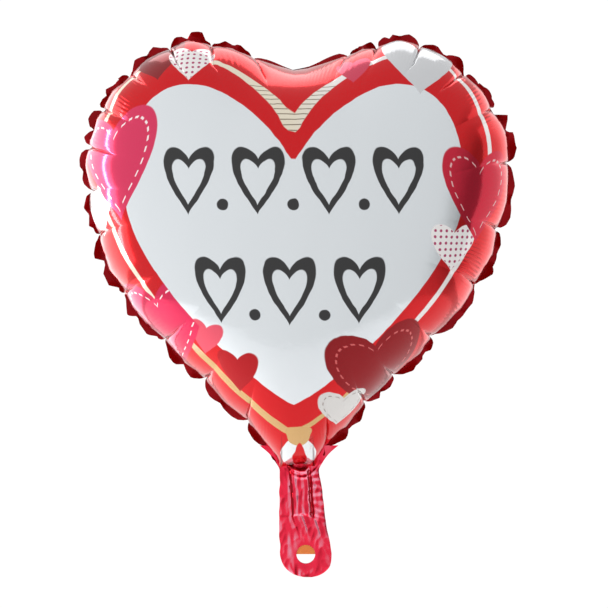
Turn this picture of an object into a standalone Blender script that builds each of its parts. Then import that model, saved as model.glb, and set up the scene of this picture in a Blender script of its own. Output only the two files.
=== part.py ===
"""Inflated heart-shaped foil balloon with its fused hem, filling tail and inner valve films.

The frame: +Z up, the front of the heart faces -Y, X runs across it. The origin is the tie point, at the neck
where the filling tail leaves the tip of the heart. The films are far thinner than this: they are drawn as
0.2 to 0.6 mm plates. A film that crosses a fold is made as one plate on each side of that fold.
"""

import math

import bmesh
import bpy
import numpy as np
from mathutils import Matrix

# Heart, inflated: where the two panels meet at the seam (metres)
NECK_HALF_WIDTH = 0.0145
NECK_Z = 0.0030
WIDEST = (0.1770, 0.2440)
LOBE_TOP = (0.0760, 0.3560)
CLEFT_Z = 0.3400
CENTRE_Z = 0.1950
DOME_DEPTH = 0.0890
SEGMENTS = 84
PUFFS = 28
PUFF_DEPTH = 0.0030
PUFF_REACH = 0.035
RINGS = (0.24, 0.45, 0.63, 0.77, 0.87, 0.94, 0.98, 1.0)

# Films and gaps
PANEL_FILM = 0.0006
SEAL_THICKNESS = 0.0008
TAIL_FILM = 0.0004
VALVE_FILM = 0.0002
GAP = 0.0003
SEAM_LIFT = 0.0010

# Fused hem around the seam
HEM_INSIDE = 0.0040
HEM_NARROW = 0.0045
HEM_WIDE = 0.0125
HEM_RUFFLE = 0.0030

# Tail: the flattened filling tube below the neck
TAIL_LENGTH = 0.0914
TAIL_TOP_HALF = 0.0170
TAIL_LOW_HALF = 0.0215
TAIL_LEAN = 0.0970
TAIL_CORNER = 0.0190
CHANNEL_HALF = 0.0105
CHANNEL_SLOPE = 0.0015
ROOT_GAP = 0.0013
FOLD_Z = -0.0400
FOLD_GAP = 0.0011
HOLE_Z = -0.0722
HOLE_RADIUS = 0.00785

# Valve: two clear films inside the tail and the neck
VALVE_HALF = 0.0090
VALVE_FLAP_Z = 0.0450
VALVE_END_Z = 0.0950

RED = (0.62, 0.010, 0.022)
DEEP_RED = (0.30, 0.004, 0.010)
PINK_RED = (0.70, 0.035, 0.110)
CLEAR = (0.86, 0.88, 0.90)
INK_ORANGE = (0.90, 0.30, 0.10)


def clear_scene():
    for item in list(bpy.data.objects):
        bpy.data.objects.remove(item, do_unlink=True)


def foil(name, colour, roughness, metallic, alpha=1.0):
    material = bpy.data.materials.new(name)
    material.use_nodes = True
    shader = material.node_tree.nodes["Principled BSDF"]
    shader.inputs["Base Color"].default_value = (*colour, 1.0)
    shader.inputs["Roughness"].default_value = roughness
    shader.inputs["Metallic"].default_value = metallic
    shader.inputs["Alpha"].default_value = alpha
    return material


def solid(name, points, faces, material, parent, smooth=False):
    """A closed mesh object, its points given in the balloon's frame and stored about its parent empty."""
    mesh = bpy.data.meshes.new(name)
    origin = np.array(parent.location)
    mesh.from_pydata((np.asarray(points) - origin).tolist(), [], [list(f) for f in faces])
    work = bmesh.new()
    work.from_mesh(mesh)
    bmesh.ops.recalc_face_normals(work, faces=work.faces)
    work.to_mesh(mesh)
    work.free()
    if smooth:
        mesh.shade_smooth()
        mesh.set_sharp_from_angle(angle=math.radians(35))
    item = bpy.data.objects.new(name, mesh)
    bpy.context.scene.collection.objects.link(item)
    item.parent = parent
    mesh.materials.append(material)
    return item


def empty(name, location):
    item = bpy.data.objects.new(name, None)
    item.empty_display_size = 0.01
    item.location = location
    bpy.context.scene.collection.objects.link(item)
    return item


def bezier(a, b, c, d, count):
    t = np.linspace(0.0, 1.0, count, endpoint=False)[:, None]
    a, b, c, d = (np.array(p, float) for p in (a, b, c, d))
    return (1 - t) ** 3 * a + 3 * (1 - t) ** 2 * t * b + 3 * (1 - t) * t**2 * c + t**3 * d


def half_outline():
    """The right half of the seam, from the neck up round the lobe to the cleft, as closely spaced points."""
    neck = (NECK_HALF_WIDTH, NECK_Z)
    wide_x, wide_z = WIDEST
    top_x, top_z = LOBE_TOP
    side = bezier(neck, (neck[0] + 0.086, neck[1] + 0.078), (wide_x, wide_z - 0.090), WIDEST, 300)
    lobe = bezier(WIDEST, (wide_x, wide_z + 0.064), (top_x + 0.054, top_z), LOBE_TOP, 200)
    dip = bezier(LOBE_TOP, (top_x - 0.036, top_z), (0.024, CLEFT_Z), (0.0, CLEFT_Z), 120)
    return np.vstack([side, lobe, dip, [(0.0, CLEFT_Z)]])


def seam_points():
    """SEGMENTS points on the seam, evenly spaced along it, from the right of the neck to the left of it."""
    half = half_outline()
    length = np.concatenate([[0.0], np.cumsum(np.linalg.norm(np.diff(half, axis=0), axis=1))])
    places = np.linspace(0.0, length[-1], SEGMENTS // 2 + 1)
    right = np.column_stack([np.interp(places, length, half[:, k]) for k in (0, 1)])
    left = right[:-1][::-1] * (-1.0, 1.0)
    return np.vstack([right, left])


def outward(points):
    """The direction square to the seam in its plane, at each of its points."""
    along = np.gradient(points, axis=0)
    square = np.column_stack([along[:, 1], -along[:, 0]])
    return square / np.linalg.norm(square, axis=1)[:, None]


def puff_wave(count):
    """1 in the middle of each puff between two creases of the rim, and 0 on a crease."""
    place = np.arange(count) / (count - 1) * PUFFS
    return np.abs(np.sin(np.pi * place))


def dome_plan():
    """The flat plan of a panel: rings of points from the centre out to the seam, with its triangles."""
    rim = seam_points()
    waves = puff_wave(len(rim))
    centre = np.array([0.0, CENTRE_Z])
    rows = [centre[None, :]]
    for share in RINGS:
        row = centre + (rim - centre) * share
        reach = np.linalg.norm(rim - centre, axis=1) * (1.0 - share)
        pull = PUFF_DEPTH * (1.0 - waves) * np.exp(-((reach / PUFF_REACH) ** 2))
        rows.append(row - outward(rim) * pull[:, None])
    points = np.vstack(rows)
    count = len(rim)
    faces = []
    for j in range(count):
        after = (j + 1) % count
        faces.append((0, 1 + j, 1 + after))
        for ring in range(len(RINGS) - 1):
            low = 1 + ring * count
            high = low + count
            faces.append((low + j, high + j, high + after))
            faces.append((low + j, high + after, low + after))
    return points, faces, count


def film_rise(points, faces, rim_count):
    """How far the gas lifts the film at each plan point, 0 to 1: the root of a membrane's sag over the heart."""
    total = len(points)
    stiffness = np.zeros((total, total))
    load = np.zeros(total)
    for face in faces:
        corner = points[list(face)]
        sides = np.roll(corner, -1, axis=0) - np.roll(corner, 1, axis=0)
        one, two = corner[1] - corner[0], corner[2] - corner[0]
        area = 0.5 * abs(one[0] * two[1] - one[1] * two[0])
        for a in range(3):
            load[face[a]] += area / 3.0
            for b in range(3):
                stiffness[face[a], face[b]] += float(sides[a] @ sides[b]) / (4.0 * area)
    free = np.arange(total - rim_count)
    sag = np.zeros(total)
    sag[free] = np.linalg.solve(stiffness[np.ix_(free, free)], load[free])
    return np.sqrt(np.clip(sag / sag.max(), 0.0, 1.0))


def dome_normals(points, faces):
    normals = np.zeros_like(points)
    for face in faces:
        a, b, c = points[list(face)]
        square = np.cross(b - a, c - a)
        for corner in face:
            normals[corner] += square
    return normals / np.linalg.norm(normals, axis=1)[:, None]


def panel(name, side, material, parent):
    """One foil panel, drawn out by the gas into a half shell that is open at the seam. side is -1 for the front."""
    plan, faces, rim_count = dome_plan()
    rise = film_rise(plan, faces, rim_count)
    outer = np.column_stack([plan[:, 0], side * (SEAM_LIFT + DOME_DEPTH * rise), plan[:, 1]])
    normals = dome_normals(outer, faces)
    normals *= np.sign(normals[0, 1] * side)
    inner = outer - normals * PANEL_FILM
    inner[-rim_count:, 1] = outer[-rim_count:, 1]
    total = len(outer)
    every = list(faces) + [tuple(total + k for k in reversed(face)) for face in faces]
    first = total - rim_count
    for j in range(rim_count):
        after = (j + 1) % rim_count
        every.append((first + j, first + total + j, first + total + after, first + after))
    return solid(name, np.vstack([outer, inner]), every, material, parent, smooth=True)


def edge_seal(material, parent):
    """The margin where the two panels are fused: a flat band inside the seam and a ruffled hem outside it."""
    rim = seam_points()
    waves = puff_wave(len(rim))
    square = outward(rim)
    ends = np.minimum(1.0, np.minimum(np.arange(len(rim)), np.arange(len(rim))[::-1]) / 6.0)
    seam = rim - square * (PUFF_DEPTH * (1.0 - waves))[:, None]
    hem = (HEM_NARROW + (HEM_WIDE - HEM_NARROW) * waves) * (0.25 + 0.75 * ends)
    ruffle = HEM_RUFFLE * (2.0 * waves - 0.7) * ends
    lines = [
        (seam - square * HEM_INSIDE, np.zeros(len(rim))),
        (seam + square * 0.0015, np.zeros(len(rim))),
        (seam + square * hem[:, None], ruffle),
    ]
    points = []
    for line, lean in lines:
        for face_side in (-0.5, 0.5):
            across = lean + face_side * SEAL_THICKNESS
            points.append(np.column_stack([line[:, 0], across, line[:, 1]]))
    count = len(rim)
    loop = [0, 2, 4, 5, 3, 1]
    faces = []
    for j in range(count - 1):
        for a, b in zip(loop, loop[1:] + loop[:1]):
            faces.append((a * count + j, a * count + j + 1, b * count + j + 1, b * count + j))
    for j in (0, count - 1):
        faces.append((0 * count + j, 2 * count + j, 3 * count + j, 1 * count + j))
        faces.append((2 * count + j, 4 * count + j, 5 * count + j, 3 * count + j))
    return solid("edge_seal", np.vstack(points), faces, material, parent, smooth=True)


def lean_at(z):
    """The tail hangs slightly to one side: how far its centre line is off the plane X = 0 at height z."""
    return -TAIL_LEAN * z


def tail_half_width(z):
    """Half the tail's width at height z, with the round corners of its bottom end."""
    width = TAIL_TOP_HALF + (TAIL_LOW_HALF - TAIL_TOP_HALF) * min(1.0, -z / 0.070)
    into = TAIL_CORNER - (z + TAIL_LENGTH)
    if into > 0.0:
        width -= TAIL_CORNER - math.sqrt(max(TAIL_CORNER**2 - into**2, 0.0))
    return width


def corrugated_film(name, side, heights, material, parent):
    """A tail film: flat side margins, and a channel raised off the other film for the valve between them."""
    margin_y = side * 0.5 * GAP
    channel_y = side * (0.5 * GAP + VALVE_FILM + GAP)
    film_y = side * TAIL_FILM
    rows = []
    for z in heights:
        half = max(tail_half_width(z), 0.0030)
        slope = min(CHANNEL_HALF + CHANNEL_SLOPE, 0.86 * half)
        flat = min(CHANNEL_HALF, 0.72 * half)
        across = [(-half, margin_y), (-slope, margin_y), (-flat, channel_y)]
        across += [(flat, channel_y), (slope, margin_y), (half, margin_y)]
        rows.append([(lean_at(z) + x, y, z) for x, y in across])
    near = np.array(rows)
    far = near + (0.0, film_y, 0.0)
    return plate(name, near, far, material, parent)


def flat_film(name, side, heights, half, material, parent):
    """A plain strip of one valve film, which follows the lean of the tail below the neck."""
    near_y = side * 0.5 * GAP
    rows = []
    for z in heights:
        shift = lean_at(min(z, 0.0))
        rows.append([(shift - half, near_y, z), (shift + half, near_y, z)])
    near = np.array(rows)
    far = near + (0.0, side * VALVE_FILM, 0.0)
    return plate(name, near, far, material, parent)


def plate(name, near, far, material, parent):
    """A closed plate between two grids of points that match."""
    rows, columns = near.shape[:2]
    points = np.vstack([near.reshape(-1, 3), far.reshape(-1, 3)])
    total = rows * columns
    faces = []
    for i in range(rows - 1):
        for j in range(columns - 1):
            face = (i * columns + j, i * columns + j + 1, (i + 1) * columns + j + 1, (i + 1) * columns + j)
            faces.append(face)
            faces.append(tuple(total + k for k in reversed(face)))
    rim = [j for j in range(columns)]
    rim += [i * columns + columns - 1 for i in range(1, rows)]
    rim += [(rows - 1) * columns + j for j in range(columns - 2, -1, -1)]
    rim += [i * columns for i in range(rows - 2, 0, -1)]
    for a, b in zip(rim, rim[1:] + rim[:1]):
        faces.append((a, total + a, total + b, b))
    return solid(name, points, faces, material, parent)


def punch_hole(film, cutter):
    cut = film.modifiers.new("filling hole", "BOOLEAN")
    cut.operation = "DIFFERENCE"
    cut.solver = "EXACT"
    cut.object = cutter


def hole_cutter(parent):
    mesh = bpy.data.meshes.new("hole_cutter")
    work = bmesh.new()
    bmesh.ops.create_cone(work, cap_ends=True, segments=40, radius1=HOLE_RADIUS, radius2=HOLE_RADIUS, depth=0.01)
    bmesh.ops.rotate(work, verts=work.verts, matrix=Matrix.Rotation(math.radians(90), 3, "X"))
    centre = np.array([lean_at(HOLE_Z), 0.0, HOLE_Z]) - np.array(parent.location)
    bmesh.ops.translate(work, verts=work.verts, vec=centre)
    work.to_mesh(mesh)
    work.free()
    cutter = bpy.data.objects.new("hole_cutter", mesh)
    bpy.context.scene.collection.objects.link(cutter)
    cutter.parent = parent
    cutter.hide_render = True
    cutter.display_type = "WIRE"
    return cutter


def round_end_heights():
    """Rows of the lower tail film, closer together where its bottom end rounds in."""
    straight = np.linspace(FOLD_Z - FOLD_GAP, TAIL_CORNER - TAIL_LENGTH, 5)
    turn = np.linspace(0.0, 0.5 * math.pi, 8)[1:]
    return list(straight) + [TAIL_CORNER * (1.0 - math.sin(a)) - TAIL_LENGTH for a in turn]


def build_panels(parent):
    panel("front_panel", -1.0, foil("front_foil", RED, 0.18, 0.85), parent)
    panel("back_panel", 1.0, foil("back_foil", RED, 0.18, 0.85), parent)
    edge_seal(foil("seal_foil", DEEP_RED, 0.25, 0.85), parent)


def build_tail(tail, tip):
    upper = [-ROOT_GAP, -0.013, -0.026, FOLD_Z + FOLD_GAP]
    lower = round_end_heights()
    cutter = hole_cutter(tip)
    for word, side in (("front", -1.0), ("back", 1.0)):
        corrugated_film(f"tail_{word}_film", side, upper, foil(f"tail_{word}_foil", PINK_RED, 0.22, 0.85), tail)
        tip_foil = foil(f"tail_tip_{word}_foil", PINK_RED, 0.22, 0.85)
        film = corrugated_film(f"tail_tip_{word}_film", side, lower, tip_foil, tip)
        punch_hole(film, cutter)


def build_valve(root, tail, tip, flap):
    """The two valve films, from the filling hole up through the tail and the neck into the heart."""
    spans = [
        ("valve_inlet", tip, (FOLD_Z - FOLD_GAP, HOLE_Z), INK_ORANGE),
        ("valve_channel", tail, (-ROOT_GAP, FOLD_Z + FOLD_GAP), CLEAR),
        ("valve_neck", root, (VALVE_FLAP_Z - ROOT_GAP, ROOT_GAP), CLEAR),
        ("valve_flap", flap, (VALVE_END_Z, VALVE_FLAP_Z + ROOT_GAP), CLEAR),
    ]
    for stem, parent, (top, bottom), colour in spans:
        for word, side in (("front", -1.0), ("back", 1.0)):
            film = foil(f"{stem}_{word}", colour, 0.30, 0.0, alpha=0.55)
            flat_film(f"{stem}_{word}_film", side, [top, bottom], VALVE_HALF, film, parent)


def main():
    clear_scene()
    root = empty("balloon_frame", (0.0, 0.0, 0.0))
    tail = empty("tail_root_axis", (0.0, 0.0, 0.0))
    tip = empty("tail_fold_axis", (0.0, 0.0, FOLD_Z))
    flap = empty("valve_flap_axis", (0.0, 0.0, VALVE_FLAP_Z))
    build_panels(root)
    build_tail(tail, tip)
    build_valve(root, tail, tip, flap)


main()
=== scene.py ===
"""Looks of the inflated heart-shaped foil balloon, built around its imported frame.

The foil is inflated here: a flat heart of film is cut, its seam is held in the plane Y = 0, and gas pressure
draws it out while the film's own edges keep their length. The puffs between the creases of the rim, the
ruffled hem and the crumpled tail follow from that shape. The print is drawn by shader nodes in the flat
film's own coordinates, so it bends and shrinks with the film.
"""

import math

import bpy
import numpy as np
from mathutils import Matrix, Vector, noise
from mathutils.bvhtree import BVHTree
from mathutils.geometry import delaunay_2d_cdt


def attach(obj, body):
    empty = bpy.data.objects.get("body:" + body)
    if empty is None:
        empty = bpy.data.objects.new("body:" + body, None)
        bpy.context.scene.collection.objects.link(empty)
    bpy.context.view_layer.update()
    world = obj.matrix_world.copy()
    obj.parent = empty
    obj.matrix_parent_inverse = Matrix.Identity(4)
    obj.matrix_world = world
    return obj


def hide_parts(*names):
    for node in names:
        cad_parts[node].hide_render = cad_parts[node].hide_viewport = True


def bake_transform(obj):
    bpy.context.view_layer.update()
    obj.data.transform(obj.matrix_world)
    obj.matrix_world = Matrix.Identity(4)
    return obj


# Camera (metres)
EYE = (0.0055, -2.20, 0.1376)
FRAME_HEIGHT = 0.510

# Flat cut of each foil, before inflation: the seam line (metres)
SEAM_NECK = (0.017, 0.000)
SEAM_WIDE = (0.213, 0.275)
SEAM_TOP = (0.090, 0.414)
SEAM_CLEFT = (0.000, 0.403)
SEAM_HANDLES = ((0.148, 0.100), 0.095, 0.062, 0.062, 0.052, (0.016, 0.002))

# Widths of the rim's puffs along the flat seam, from the neck to the cleft on each side (millimetres)
RIGHT_PUFFS = (20, 53, 35, 51, 69, 61, 62, 60, 47, 50, 46, 28, 45)
LEFT_PUFFS = (50, 54, 52, 62, 66, 42, 42, 44, 47, 46, 44, 41, 39)

# Middle of the flat film, towards which its rows of points close in (metres)
FILM_MIDDLE = (0.0, 0.235)
INNER_ROWS = 34

# Inflation: size of a triangle (metres), steps of time, and how hard the gas and the film pull
CELL = 0.0050
STEPS = 250
PASSES = 6
PRESSURE = 0.00003
DRAG = 0.94
BEND_PUSH = 0.02

# Rim: how far its puffs stand out and reach inwards, its creases, and the hem outside its seam (metres), with
# the hem's columns to each of the seam's, and its rows as shares of its width
PUFF_BULGE = 0.0030
PUFF_REACH = 0.046
CREASE_DEPTH = 0.0052
CREASE_WIDTH = 0.0009
HEM_WIDTH = 0.0061
HEM_SWAY = 0.0034
HEM_PARTS = 3
HEM_ROWS = (-0.12, 0.0, 0.3, 0.6, 0.85, 1.0)

# Seeds of the random draws
CELL_SEED, PUFF_SEED, HEM_SEED = 3, 5, 11
FRONT_TAIL_SEED, BACK_TAIL_SEED = 1.0, 6.3

# Tail, below the neck at Z = 0 (metres): its sizes and sideways lean, where its two pieces meet, its fold
# line, and its hole's X, Z and radius
TAIL_LENGTH = 0.0914
TAIL_TOP_HALF = 0.0165
TAIL_LOW_HALF = 0.0215
TAIL_LEAN = 0.0970
TAIL_CORNER = 0.0190
TAIL_SPLIT = -0.0215
TAIL_FLARE = 0.0165
TAIL_COLUMNS = 67
FOLD_Z = -0.0400
HOLE = (0.0070, -0.0722, 0.00785)


# ---------------------------------------------------------------- small helpers


def smooth_step(value, low, high):
    """0 below low, 1 above high, and eased between."""
    t = np.clip((np.asarray(value, float) - low) / (high - low), 0.0, 1.0)
    return t * t * (3.0 - 2.0 * t)


def bezier(a, b, c, d, count):
    """Points along a cubic curve, without its last one."""
    t = np.linspace(0.0, 1.0, count, endpoint=False)[:, None]
    a, b, c, d = (np.array(p, float) for p in (a, b, c, d))
    return (1 - t) ** 3 * a + 3 * (1 - t) ** 2 * t * b + 3 * (1 - t) * t**2 * c + t**3 * d


def heart_path(neck, wide, top, cleft, handles):
    """Half a heart as closely spaced points, from its lower end up round the lobe to the cleft."""
    lift, drop, rise, lobe, inner, dip = handles
    side = bezier(neck, (neck[0] + lift[0], neck[1] + lift[1]), (wide[0], wide[1] - drop), wide, 300)
    crown = bezier(wide, (wide[0], wide[1] + rise), (top[0] + lobe, top[1]), top, 220)
    fall = bezier(top, (top[0] - inner, top[1]), (cleft[0] + dip[0], cleft[1] + dip[1]), cleft, 160)
    return np.vstack([side, crown, fall, [cleft]])


def whole_heart(half):
    """The half mirrored: up the right side, over the cleft and down the left."""
    return np.vstack([half, (half * (-1.0, 1.0))[::-1][1:]])


def lengths_along(points):
    return np.concatenate([[0.0], np.cumsum(np.linalg.norm(np.diff(points, axis=0), axis=1))])


def inside(points, loop):
    """Which points lie inside a closed outline."""
    x, z = points[:, 0], points[:, 1]
    found = np.zeros(len(points), bool)
    for (x0, z0), (x1, z1) in zip(loop, np.roll(loop, -1, 0)):
        if z0 == z1:
            continue
        crosses = (z0 > z) != (z1 > z)
        found ^= crosses & (x < (x1 - x0) * (z - z0) / (z1 - z0) + x0)
    return found


def signed_distance(points, loop):
    """Distance from a closed outline, positive inside it."""
    best = np.full(len(points), 9.0)
    for a, b in zip(loop, np.roll(loop, -1, 0)):
        span = b - a
        size = span @ span
        if size == 0.0:
            continue
        t = np.clip((points - a) @ span / size, 0.0, 1.0)
        best = np.minimum(best, np.hypot(*(points - a - t[:, None] * span).T))
    return np.where(inside(points, loop), best, -best)


def mesh_piece(name, points, faces, body, nodes):
    """A smooth piece of film on a body, in place of CAD nodes."""
    mesh = bpy.data.meshes.new(name)
    mesh.from_pydata(np.asarray(points).tolist(), [], [tuple(int(k) for k in f) for f in faces])
    mesh.shade_smooth()
    piece = bpy.data.objects.new(name, mesh)
    bpy.context.scene.collection.objects.link(piece)
    if body:
        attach(piece, body)
    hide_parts(*nodes)
    return piece


def attribute(piece, name, values):
    """A value or a vector at each point of a piece, for its material to read."""
    kind, field = ("FLOAT_VECTOR", "vector") if np.ndim(values) == 2 else ("FLOAT", "value")
    layer = piece.data.attributes.new(name, kind, "POINT")
    layer.data.foreach_set(field, np.ravel(values).astype(np.float32))


def grid_faces(rows, columns):
    i, j = np.meshgrid(np.arange(rows - 1), np.arange(columns - 1), indexing="ij")
    a = (i * columns + j).ravel()
    return np.column_stack([a, a + 1, a + columns + 1, a + columns])


# ---------------------------------------------------------------- inflation


def seam_half():
    return heart_path(SEAM_NECK, SEAM_WIDE, SEAM_TOP, SEAM_CLEFT, SEAM_HANDLES)


def cut_film():
    """The flat film as triangles of about CELL, its seam points first and then the neck's."""
    full = whole_heart(seam_half())
    along = lengths_along(full)
    places = np.linspace(0.0, along[-1], int(round(along[-1] / CELL)) + 1)
    seam = np.column_stack([np.interp(places, along, full[:, k]) for k in (0, 1)])
    neck = np.linspace(seam[-1], seam[0], 8)[1:-1]
    loop = np.vstack([seam, neck])
    columns = np.arange(-0.24, 0.24, CELL)
    levels = np.arange(-0.01, 0.46, CELL * math.sqrt(3.0) / 2.0)
    cells = np.array([(x + (CELL / 2.0 if k % 2 else 0.0), z) for k, z in enumerate(levels) for x in columns])
    cells = cells[inside(cells, loop)]
    gap = np.full(len(cells), 9.0)
    for point in loop:
        gap = np.minimum(gap, np.hypot(*(cells - point).T))
    cells = cells[gap > 0.62 * CELL]
    cells = cells + np.random.default_rng(CELL_SEED).normal(0.0, CELL * 0.06, cells.shape)
    ring = [(k, (k + 1) % len(loop)) for k in range(len(loop))]
    cut = delaunay_2d_cdt([Vector(p) for p in np.vstack([loop, cells])], ring, [], 1, 1e-7)
    flat = np.array([tuple(p) for p in cut[0]])
    faces = np.array([tuple(f) for f in cut[2] if len(f) == 3])
    a, b, c = flat[faces[:, 0]], flat[faces[:, 1]], flat[faces[:, 2]]
    turn = (b[:, 0] - a[:, 0]) * (c[:, 1] - a[:, 1]) - (b[:, 1] - a[:, 1]) * (c[:, 0] - a[:, 0])
    faces[turn < 0] = faces[turn < 0][:, ::-1]
    return flat, faces, len(loop), len(seam)


def links(faces):
    """Each edge of the film, and each pair of corners across an edge."""
    pairs = np.sort(np.vstack([faces[:, [0, 1]], faces[:, [1, 2]], faces[:, [2, 0]]]), axis=1)
    across = np.concatenate([faces[:, 2], faces[:, 0], faces[:, 1]])
    order = np.lexsort(pairs.T[::-1])
    pairs, across = pairs[order], across[order]
    same = np.append((pairs[1:] == pairs[:-1]).all(axis=1), False)
    first = np.insert(~same[:-1], 0, True)
    bends = np.column_stack([across[:-1][same[:-1]], across[1:][same[:-1]]])
    return pairs[first], bends


def batches(pairs, count):
    """The pairs sorted into batches in which no point comes twice."""
    used = [set() for _ in range(count)]
    batch = np.zeros(len(pairs), int)
    for k, (i, j) in enumerate(pairs.tolist()):
        n = 0
        while n in used[i] or n in used[j]:
            n += 1
        used[i].add(n)
        used[j].add(n)
        batch[k] = n
    return [pairs[batch == n] for n in range(batch.max() + 1)]


def keep_lengths(points, groups, rests, pull, push):
    """Bring each pair back to its rest length: by the share pull when too long, and push when too short."""
    for pairs, rest in zip(groups, rests):
        i, j = pairs[:, 0], pairs[:, 1]
        span = points[i] - points[j]
        length = np.sqrt((span * span).sum(axis=1))
        miss = length - rest
        share = np.where(miss > 0.0, pull, push) * 0.5 * miss / np.maximum(length, 1e-9)
        points[i] -= share[:, None] * span
        points[j] += share[:, None] * span


def gas_push(points, faces, count):
    """The gas's push on each point: square to the film, and 1 where the film is flat and uncreased."""
    a, b, c = points[faces[:, 0]], points[faces[:, 1]], points[faces[:, 2]]
    square = np.cross(b - a, c - a) / (6.0 * CELL * CELL * 0.866)
    push = np.zeros_like(points)
    for k in range(3):
        for axis in range(3):
            push[:, axis] += np.bincount(faces[:, k], square[:, axis], minlength=count)
    return push


def inflate():
    """The front film drawn out by the gas: its flat points, faces, inflated points and seam count."""
    flat, faces, rim, seam = cut_film()
    count = len(flat)
    edges, bends = links(faces)
    points = np.column_stack([flat[:, 0], np.zeros(count), flat[:, 1]])
    edge_groups, bend_groups = batches(edges, count), batches(bends, count)
    edge_rests = [np.linalg.norm(points[g[:, 0]] - points[g[:, 1]], axis=1) for g in edge_groups]
    bend_rests = [np.linalg.norm(points[g[:, 0]] - points[g[:, 1]], axis=1) for g in bend_groups]
    free = np.arange(count) >= rim
    points[:, 1] = -0.004 * free
    speed = np.zeros_like(points)
    steps = STEPS
    for step in range(steps):
        ramp = min(1.0, step / (0.15 * steps))
        speed = speed * DRAG + gas_push(points, faces, count) * PRESSURE * ramp
        before = points.copy()
        points += speed
        points[~free, 1] = 0.0
        for _ in range(PASSES):
            keep_lengths(points, bend_groups, bend_rests, 0.0, BEND_PUSH)
            keep_lengths(points, edge_groups, edge_rests, 1.0, BEND_PUSH)
            points[~free, 1] = 0.0
            points[free, 1] = np.minimum(points[free, 1], -0.0004)
        speed = points - before
    points = relax(points, edges, free)
    points[:, 2] -= points[:seam, 2].min()
    return flat, faces, points, seam


def relax(points, edges, free):
    """A little smoothing, which takes out the jitter of the cells."""
    count = len(points)
    ends = np.vstack([edges, edges[:, ::-1]])
    number = np.bincount(ends[:, 0], minlength=count)[:, None]
    for _ in range(4):
        mean = np.column_stack([np.bincount(ends[:, 0], points[ends[:, 1], k], count) for k in range(3)])
        points = np.where(free[:, None], 0.5 * points + 0.5 * mean / number, points)
    return points


def corner_normals(points, faces):
    """The film's unit normal at each point."""
    a, b, c = points[faces[:, 0]], points[faces[:, 1]], points[faces[:, 2]]
    square = np.cross(b - a, c - a)
    normals = np.zeros_like(points)
    for k in range(3):
        for axis in range(3):
            normals[:, axis] += np.bincount(faces[:, k], square[:, axis], minlength=len(points))
    return normals / np.maximum(np.linalg.norm(normals, axis=1), 1e-12)[:, None]


def lift(targets, flat, faces, points):
    """Where flat film points lie on the inflated film, rounded between its triangles by their normals."""
    tree = BVHTree.FromPolygons([(x, z, 0.0) for x, z in flat], faces.tolist())
    found = np.array([tree.find_nearest((x, z, 0.0))[2] for x, z in targets])
    tri = faces[found]
    a, b, c = flat[tri[:, 0]], flat[tri[:, 1]], flat[tri[:, 2]]
    one, two, rel = b - a, c - a, targets - a
    area = one[:, 0] * two[:, 1] - two[:, 0] * one[:, 1]
    u = (rel[:, 0] * two[:, 1] - two[:, 0] * rel[:, 1]) / area
    v = (one[:, 0] * rel[:, 1] - rel[:, 0] * one[:, 1]) / area
    weights = np.clip(np.column_stack([1.0 - u - v, u, v]), 0.0, 1.0)
    weights /= weights.sum(axis=1)[:, None]
    normals = corner_normals(points, faces)
    plain = sum(weights[:, k, None] * points[tri[:, k]] for k in range(3))
    bent = np.zeros_like(plain)
    for k in range(3):
        corner, normal = points[tri[:, k]], normals[tri[:, k]]
        off = ((plain - corner) * normal).sum(axis=1)
        bent += weights[:, k, None] * (plain - off[:, None] * normal)
    return 0.3 * plain + 0.7 * bent


# ---------------------------------------------------------------- panels

# Steps of the mesh (mm): along the seam away from a crease, and inwards from the seam
CREASE_STEPS = (0.0, 0.45, 1.0, 2.0, 4.0, 7.5)
RIM_STEPS = (0.0, 1.0, 2.2, 3.6, 5.4, 7.6, 10.2, 13.2, 16.6, 20.4, 24.6, 29.2, 34.2, 39.6, 45.0)


def crease_places(total):
    """Where the rim's creases cross the seam: the puffs' widths, scaled to fill each half of it."""
    right = np.cumsum(RIGHT_PUFFS) / 1000.0
    left = total - np.cumsum(LEFT_PUFFS) / 1000.0
    scale = 0.5 * total / right[-1]
    left = total - (total - left) * 0.5 * total / (total - left[-1])
    return np.concatenate([[0.0], right[:-1] * scale, left[::-1][1:], [total]])


def seam_columns():
    """Points along the flat seam, bunched at the creases, with each point's place in its puff."""
    full = whole_heart(seam_half())
    along = lengths_along(full)
    stops = crease_places(along[-1])
    places, puffs, offs, widths = [], [], [], []
    near = np.array(CREASE_STEPS) / 1000.0
    for n, (a, b) in enumerate(zip(stops[:-1], stops[1:])):
        middle = np.linspace(near[-1], b - a - near[-1], 6)[1:-1]
        share = np.concatenate([near, middle, b - a - near[::-1]]) / (b - a)
        last = n == len(stops) - 2
        for s in share if last else share[:-1]:
            places.append(a + s * (b - a))
            puffs.append(n)
            offs.append(s)
            widths.append(b - a)
    seam = np.column_stack([np.interp(places, along, full[:, k]) for k in (0, 1)])
    return seam, np.array(puffs), np.array(offs), np.array(widths), np.array(places)


def film_lines(seam):
    """The flat directions in which creases run in from each seam point."""
    neck = np.linspace(seam[-1], seam[0], 9)[1:-1]
    loop = np.vstack([seam, neck])
    tangent = np.roll(loop, -1, 0) - np.roll(loop, 1, 0)
    tangent /= np.linalg.norm(tangent, axis=1)[:, None]
    square = np.column_stack([-tangent[:, 1], tangent[:, 0]])
    centre = np.array(FILM_MIDDLE)
    radial = centre - loop
    radial /= np.linalg.norm(radial, axis=1)[:, None]
    weight = 0.8 * smooth_step(np.abs(loop[:, 0]), 0.030, 0.100)[:, None]
    line = weight * square + (1.0 - weight) * radial
    return loop, line / np.linalg.norm(line, axis=1)[:, None], centre


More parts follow.
